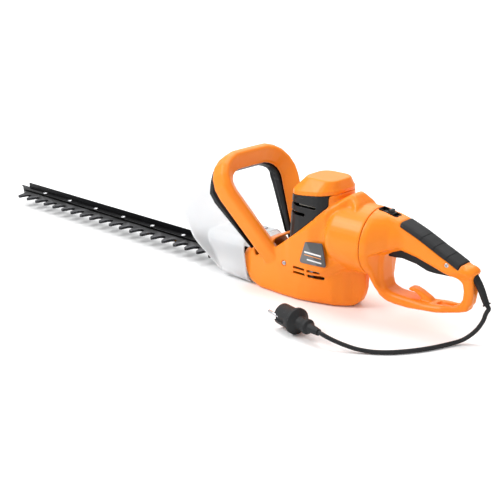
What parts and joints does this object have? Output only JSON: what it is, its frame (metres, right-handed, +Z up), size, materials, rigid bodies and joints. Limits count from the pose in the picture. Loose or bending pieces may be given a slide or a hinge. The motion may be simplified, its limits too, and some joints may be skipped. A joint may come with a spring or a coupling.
{
  "type": "hedge trimmer",
  "caption": "Corded electric hedge trimmer with toothed reciprocating blades, frosted hand guard, loop front handle with switch lever and swivelling rear loop handle.",
  "frame": {"origin": "on the underside of the base plate (the floor), under the centre of the motor cap's top face, in the tool's middle plane", "axes": "-X along the blades to their tip, +X to the rear handle; +Z up; -Y is the tool's left side, the side with the teeth"},
  "size_m": [1.0391, 0.2342, 0.2004],
  "materials": {
    "orange": "moulded, satin to gloss",
    "black_plastic": "fine grain",
    "black_rubber": "soft, matte",
    "blade_steel": "blackened, ground edges",
    "steel": "bright zinc plated",
    "frosted": "frosted clear",
    "label": "smooth film",
    "copper": "bare copper",
    "brass": "sintered bronze",
    "aluminium": "die cast",
    "nylon": "natural nylon"
  },
  "bodies": {
    "housing": {"base_plate": "aluminium", "base_screw_1": "steel", "base_screw_2": "steel", "base_screw_3": "steel", "base_screw_4": "steel", "bearing_carrier": "nylon", "blade_bolt_1": "steel", "blade_bolt_2": "steel", "blade_bolt_3": "steel", "blade_bolt_4": "steel", "blade_bolt_5": "steel", "blade_bolt_6": "steel", "body_screw_1": "steel", "body_shell_left": "orange", "body_shell_right": "orange", "brush_holder_left": "brass", "brush_holder_right": "brass", "cord": "black_rubber", "front_handle": "orange", "front_switch": "black_plastic", "gear_bush_lower": "brass", "gear_bush_upper": "brass", "gearbox_frame": "aluminium", "guard_screw_left": "steel", "guard_screw_right": "steel", "hand_guard": "frosted", "lever_pin_left": "steel", "lever_pin_right": "steel", "motor_bearing_lower": "steel", "motor_bearing_upper": "steel", "motor_cap": "orange", "motor_stator": "steel", "name_plate_left": "label", "name_plate_right": "label", "plug_body": "black_rubber", "plug_pin_1": "steel", "plug_pin_2": "steel", "support_bar": "blade_steel", "vent_cover": "black_plastic"},
    "upper_blade": {"upper_blade": "blade_steel"},
    "lower_blade": {"lower_blade": "blade_steel"},
    "gear": {"drive_gear": "steel"},
    "rotor": {"motor_shaft": "steel", "cooling_fan": "nylon", "armature_core": "copper", "commutator": "copper"},
    "front_lever": {"front_switch_lever": "black_plastic"},
    "rear_handle": {"rear_handle_left": "orange", "rear_handle_right": "orange", "handle_screw": "steel", "swivel_collar": "nylon", "grip_overlay": "black_rubber", "trigger_switch": "black_plastic", "trigger_pin": "steel", "cord_gland": "black_rubber"},
    "trigger": {"trigger": "black_plastic"},
    "latch": {"latch_slider": "black_plastic"}
  },
  "joints": [
    {"name": "upper_blade_slide", "type": "slide", "parent": "housing", "child": "upper_blade", "axis": [1, 0, 0], "range_m": [-0.008, 0.008]},
    {"name": "lower_blade_slide", "type": "slide", "parent": "housing", "child": "lower_blade", "axis": [1, 0, 0], "range_m": [-0.008, 0.008]},
    {"name": "gear_spin", "type": "hinge", "parent": "housing", "child": "gear", "pos_m": [-0.038, 0, 0.04], "axis": [0, 0, 1], "continuous": true},
    {"name": "rotor_spin", "type": "hinge", "parent": "housing", "child": "rotor", "pos_m": [-0.008, 0, 0.09], "axis": [0, 0, 1], "continuous": true},
    {"name": "front_lever_squeeze", "type": "hinge", "parent": "housing", "child": "front_lever", "pos_m": [-0.08735, 0, 0.05914], "axis": [0, 1, 0], "range_deg": [0, 1.3], "stiffness_Nm_per_rad": 20, "springref_deg": -1.72},
    {"name": "rear_handle_swivel", "type": "hinge", "parent": "housing", "child": "rear_handle", "pos_m": [0.088, 0, 0.105], "axis": [1, 0, 0], "range_deg": [-90, 90]},
    {"name": "trigger_press", "type": "hinge", "parent": "rear_handle", "child": "trigger", "pos_m": [0.203, 0, 0.092], "axis": [0, 1, 0], "range_deg": [0, 5], "stiffness_Nm_per_rad": 2, "springref_deg": -2.86},
    {"name": "latch_slide", "type": "slide", "parent": "rear_handle", "child": "latch", "axis": [1, 0, 0], "range_m": [0, 0.005], "stiffness_N_per_m": 200, "springref_m": -0.002}
  ],
  "couplings": [
    {"joint": "lower_blade_slide", "follows": "upper_blade_slide", "ratio": -1},
    {"joint": "rotor_spin", "follows": "gear_spin", "ratio": -5}
  ]
}
